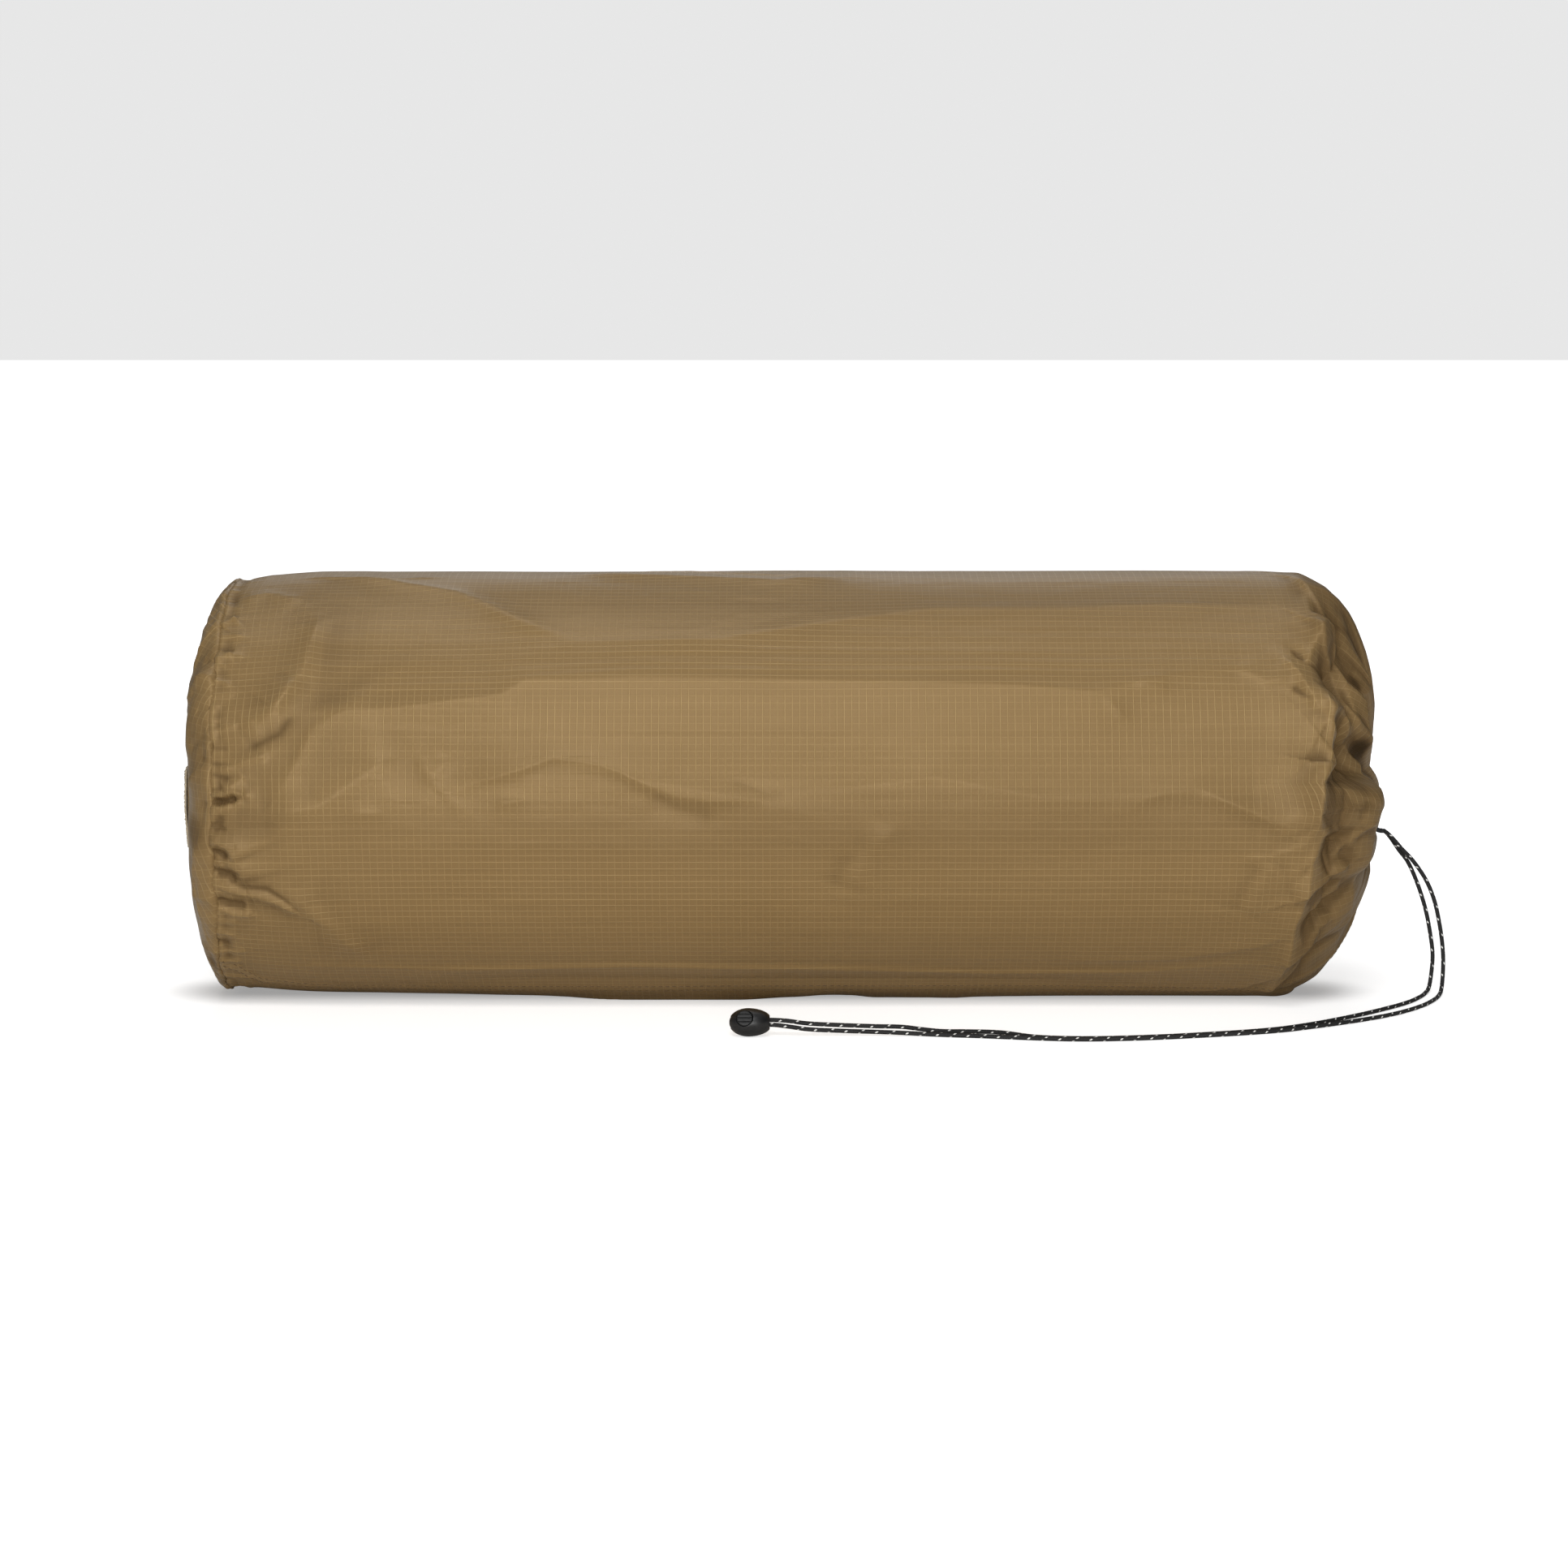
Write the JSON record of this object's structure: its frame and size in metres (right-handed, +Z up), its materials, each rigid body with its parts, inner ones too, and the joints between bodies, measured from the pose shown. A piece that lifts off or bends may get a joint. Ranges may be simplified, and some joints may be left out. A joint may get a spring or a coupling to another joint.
{
  "type": "packed cot tent in a stuff sack",
  "caption": "Full round drawstring stuff sack lying on its side, with a domed base, a gathered mouth, a doubled drawcord and a push-button cord lock; the cot tent is packed inside.",
  "frame": {"origin": "on the floor under the middle of the sack, on its long axis", "axes": "+X along the sack from its sewn base to its gathered mouth, +Y away from the side that the drawcord lies on, +Z up"},
  "size_m": [0.6032, 0.2328, 0.2007],
  "materials": {
    "coyote_ripstop": "coyote-brown ripstop nylon, slight sheen on its ribs",
    "fly_cloth": "coated brown polyester",
    "tent_cloth": "light brown mesh and nylon",
    "loop_tape": "fuzzy pale loop tape",
    "black_cord": "black braid with pale reflective flecks",
    "black_acetal": "satin black moulded acetal",
    "spring_steel": "bright spring steel",
    "bare_aluminium": "drawn aluminium tube",
    "anodised_stake": "anodised aluminium"
  },
  "bodies": {
    "root": {"sack_body": "coyote_ripstop", "base_panel": "coyote_ripstop", "mouth_hem": "coyote_ripstop", "base_seam_binding": "black_cord", "loop_patch": "loop_tape", "drawcord_hem_loop": "black_cord", "drawcord_front_strand": "black_cord", "drawcord_rear_strand": "black_cord", "cord_end_bead": "black_cord", "lock_body": "black_acetal", "lock_spring": "spring_steel", "rainfly_roll": "fly_cloth", "tent_roll": "tent_cloth", "pole_bag": "fly_cloth", "stake_bag": "fly_cloth", "pole_a_section_1": "bare_aluminium", "pole_a_section_2": "bare_aluminium", "pole_a_section_3": "bare_aluminium", "pole_a_section_4": "bare_aluminium", "pole_a_section_5": "bare_aluminium", "pole_a_section_6": "bare_aluminium", "pole_a_section_7": "bare_aluminium", "pole_a_shock_cord": "black_cord", "pole_a_tip_1": "black_acetal", "pole_a_tip_2": "black_acetal", "pole_b_section_1": "bare_aluminium", "pole_b_section_2": "bare_aluminium", "pole_b_section_3": "bare_aluminium", "pole_b_section_4": "bare_aluminium", "pole_b_section_5": "bare_aluminium", "pole_b_section_6": "bare_aluminium", "pole_b_section_7": "bare_aluminium", "pole_b_shock_cord": "black_cord", "pole_b_tip_1": "black_acetal", "pole_b_tip_2": "black_acetal", "stake_1": "anodised_stake", "stake_2": "anodised_stake", "stake_3": "anodised_stake", "stake_4": "anodised_stake", "stake_5": "anodised_stake", "stake_6": "anodised_stake", "guyline_hank_1": "black_cord", "guyline_tensioner_1": "black_acetal", "guyline_hank_2": "black_cord", "guyline_tensioner_2": "black_acetal", "guyline_hank_3": "black_cord", "guyline_tensioner_3": "black_acetal", "guyline_hank_4": "black_cord", "guyline_tensioner_4": "black_acetal"},
    "lock_button": {"lock_plunger": "black_acetal"}
  },
  "joints": [
    {"name": "button_press", "type": "slide", "parent": "root", "child": "lock_button", "axis": [0, 0.866, -0.5], "range_m": [0, 0.0016], "stiffness_N_per_m": 1000, "springref_m": -0.003, "deforming": ["lock_spring"]}
  ]
}
